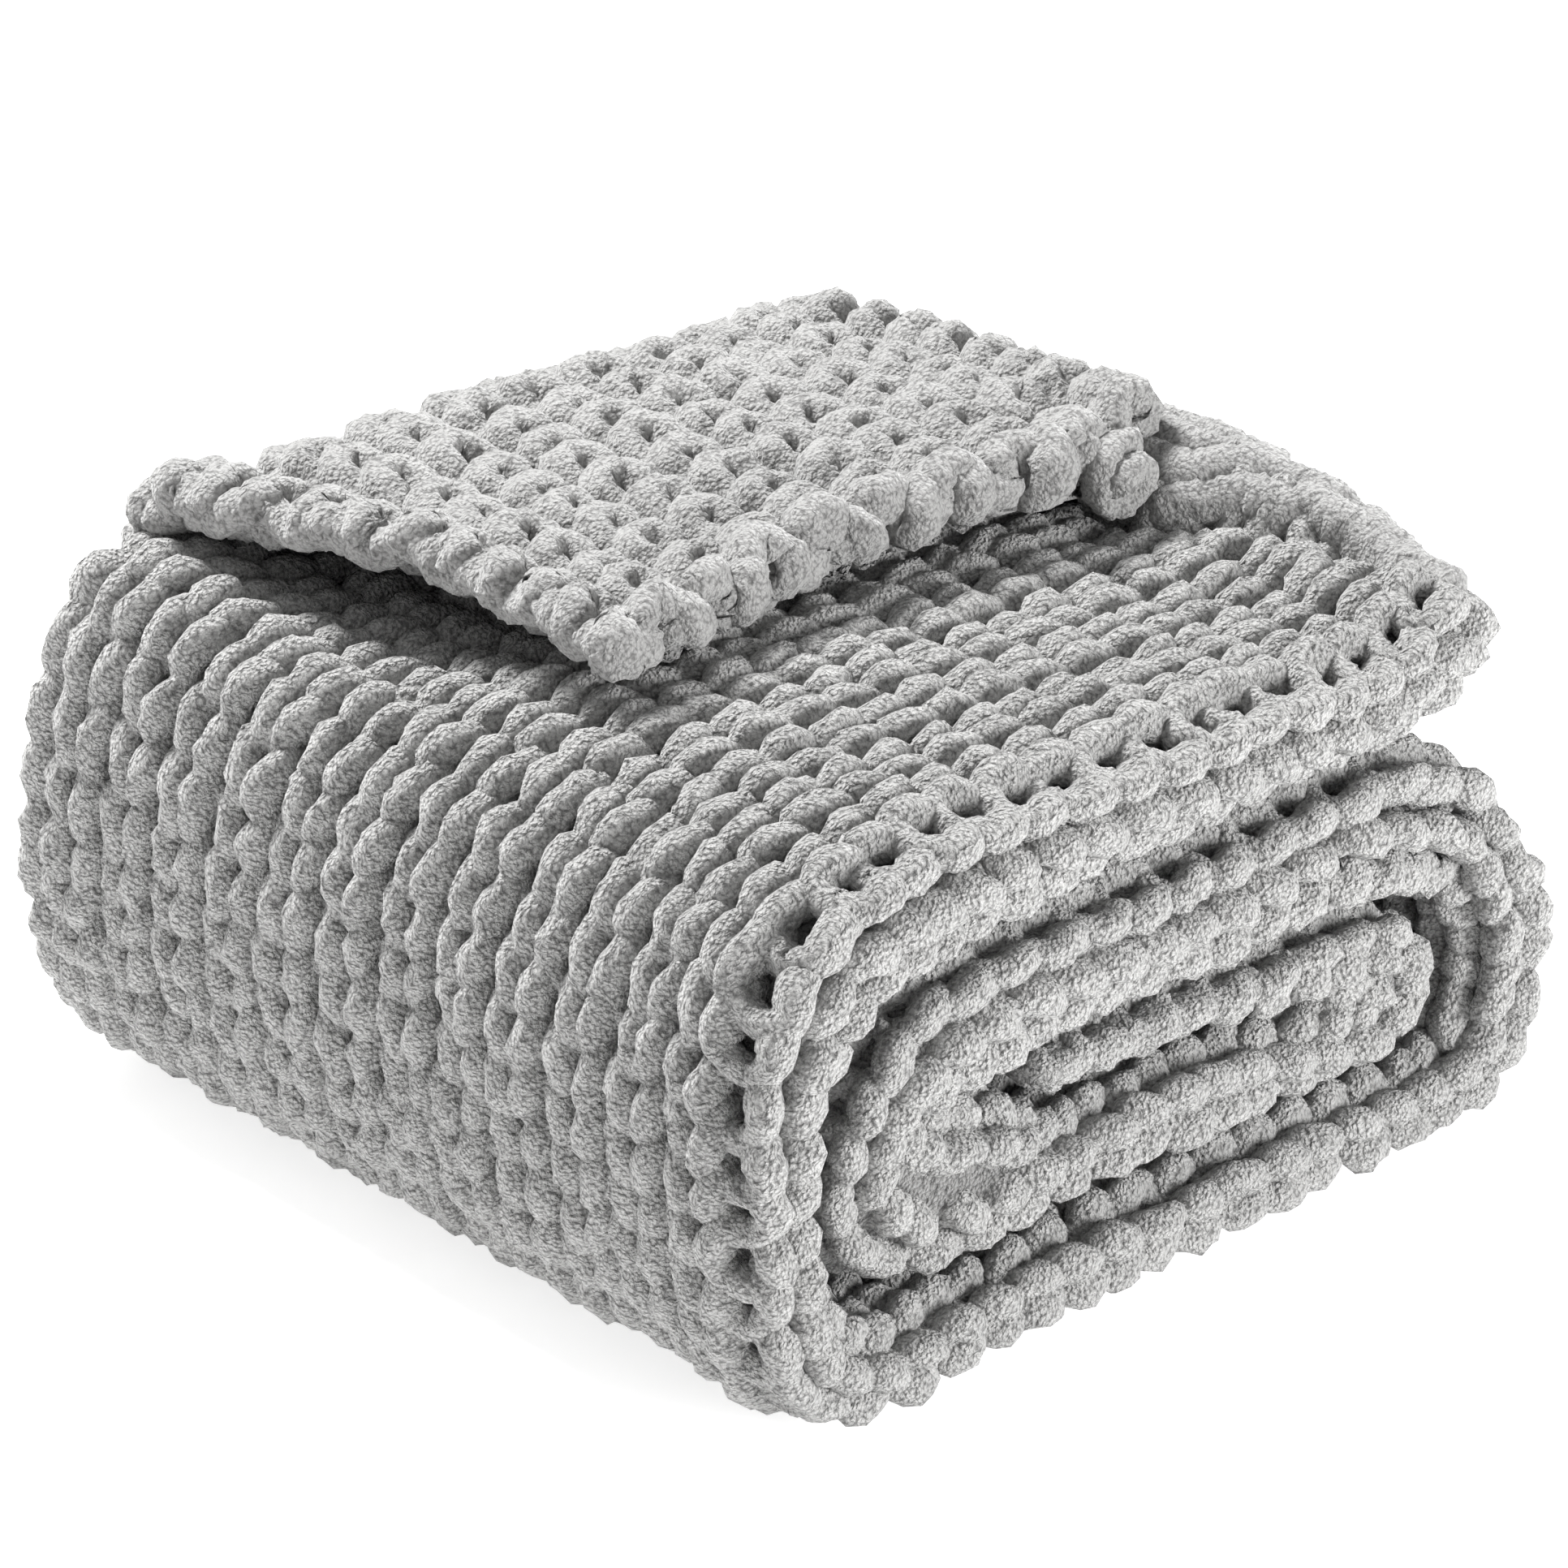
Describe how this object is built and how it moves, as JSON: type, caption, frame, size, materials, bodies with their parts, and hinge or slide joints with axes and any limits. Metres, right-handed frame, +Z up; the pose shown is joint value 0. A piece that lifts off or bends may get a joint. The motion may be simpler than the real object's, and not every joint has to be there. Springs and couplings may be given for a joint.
{
  "type": "folded chunky knit blanket",
  "caption": "Thick grey chenille throw in chunky stocking stitch, folded and rolled into a bundle with a loose end turned back over the top, for a bed, sofa or shelf.",
  "frame": {"origin": "middle of the underside, on the surface that the folded blanket rests on", "axes": "+Z up, +Y along the bundle's length from the end that shows the layers towards the far end, +X across the layers from the wrapped side to the side with the folds"},
  "size_m": [0.4577, 0.4793, 0.2875],
  "materials": {
    "chenille": "matte plush chenille yarn"
  },
  "bodies": {
    "root": {"blanket": "chenille"}
  },
  "joints": []
}
